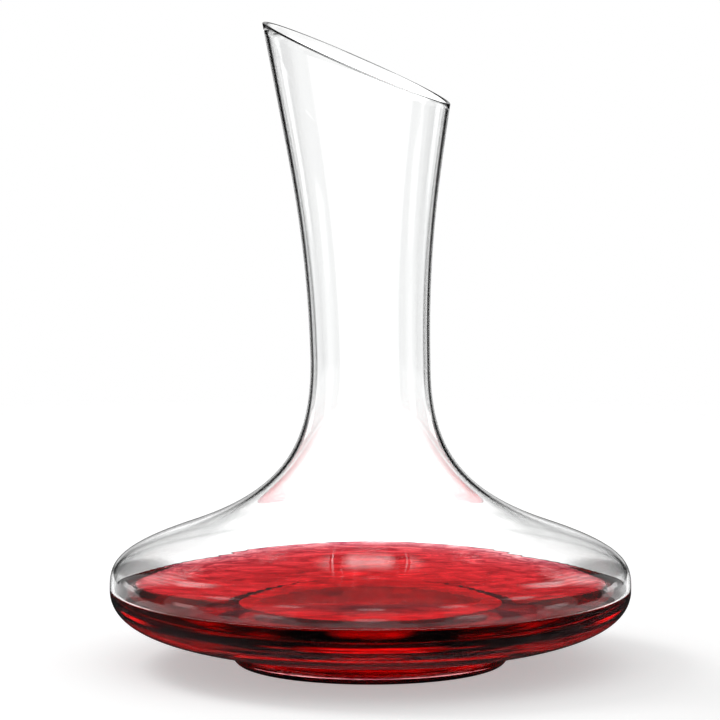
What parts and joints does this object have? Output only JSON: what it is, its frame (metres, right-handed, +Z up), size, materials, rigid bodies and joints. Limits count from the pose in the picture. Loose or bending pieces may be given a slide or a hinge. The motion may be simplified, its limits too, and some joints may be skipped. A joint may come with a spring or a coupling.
{
  "type": "wine decanter",
  "caption": "Clear blown-glass wine decanter with a flared neck cut on a slant, a wide shallow bowl on a short hollow foot, holding red wine to its widest point.",
  "frame": {"origin": "centre of the plane that the foot rests on, on the axis of the bowl", "axes": "+Z up along the axis of the bowl, -X towards the pouring lip, which is the high side of the slanted rim, +Y completing a right-handed frame"},
  "size_m": [0.22, 0.22, 0.2708],
  "materials": {
    "clear_glass": "polished",
    "red_wine": "polished"
  },
  "bodies": {
    "decanter": {"glass_vessel": "clear_glass"},
    "wine_body": {"wine": "red_wine"}
  },
  "joints": [
    {"name": "wine_swirl", "type": "hinge", "parent": "decanter", "child": "wine_body", "pos_m": [0, 0, 0.0315], "axis": [0, 0, 1], "continuous": true}
  ]
}
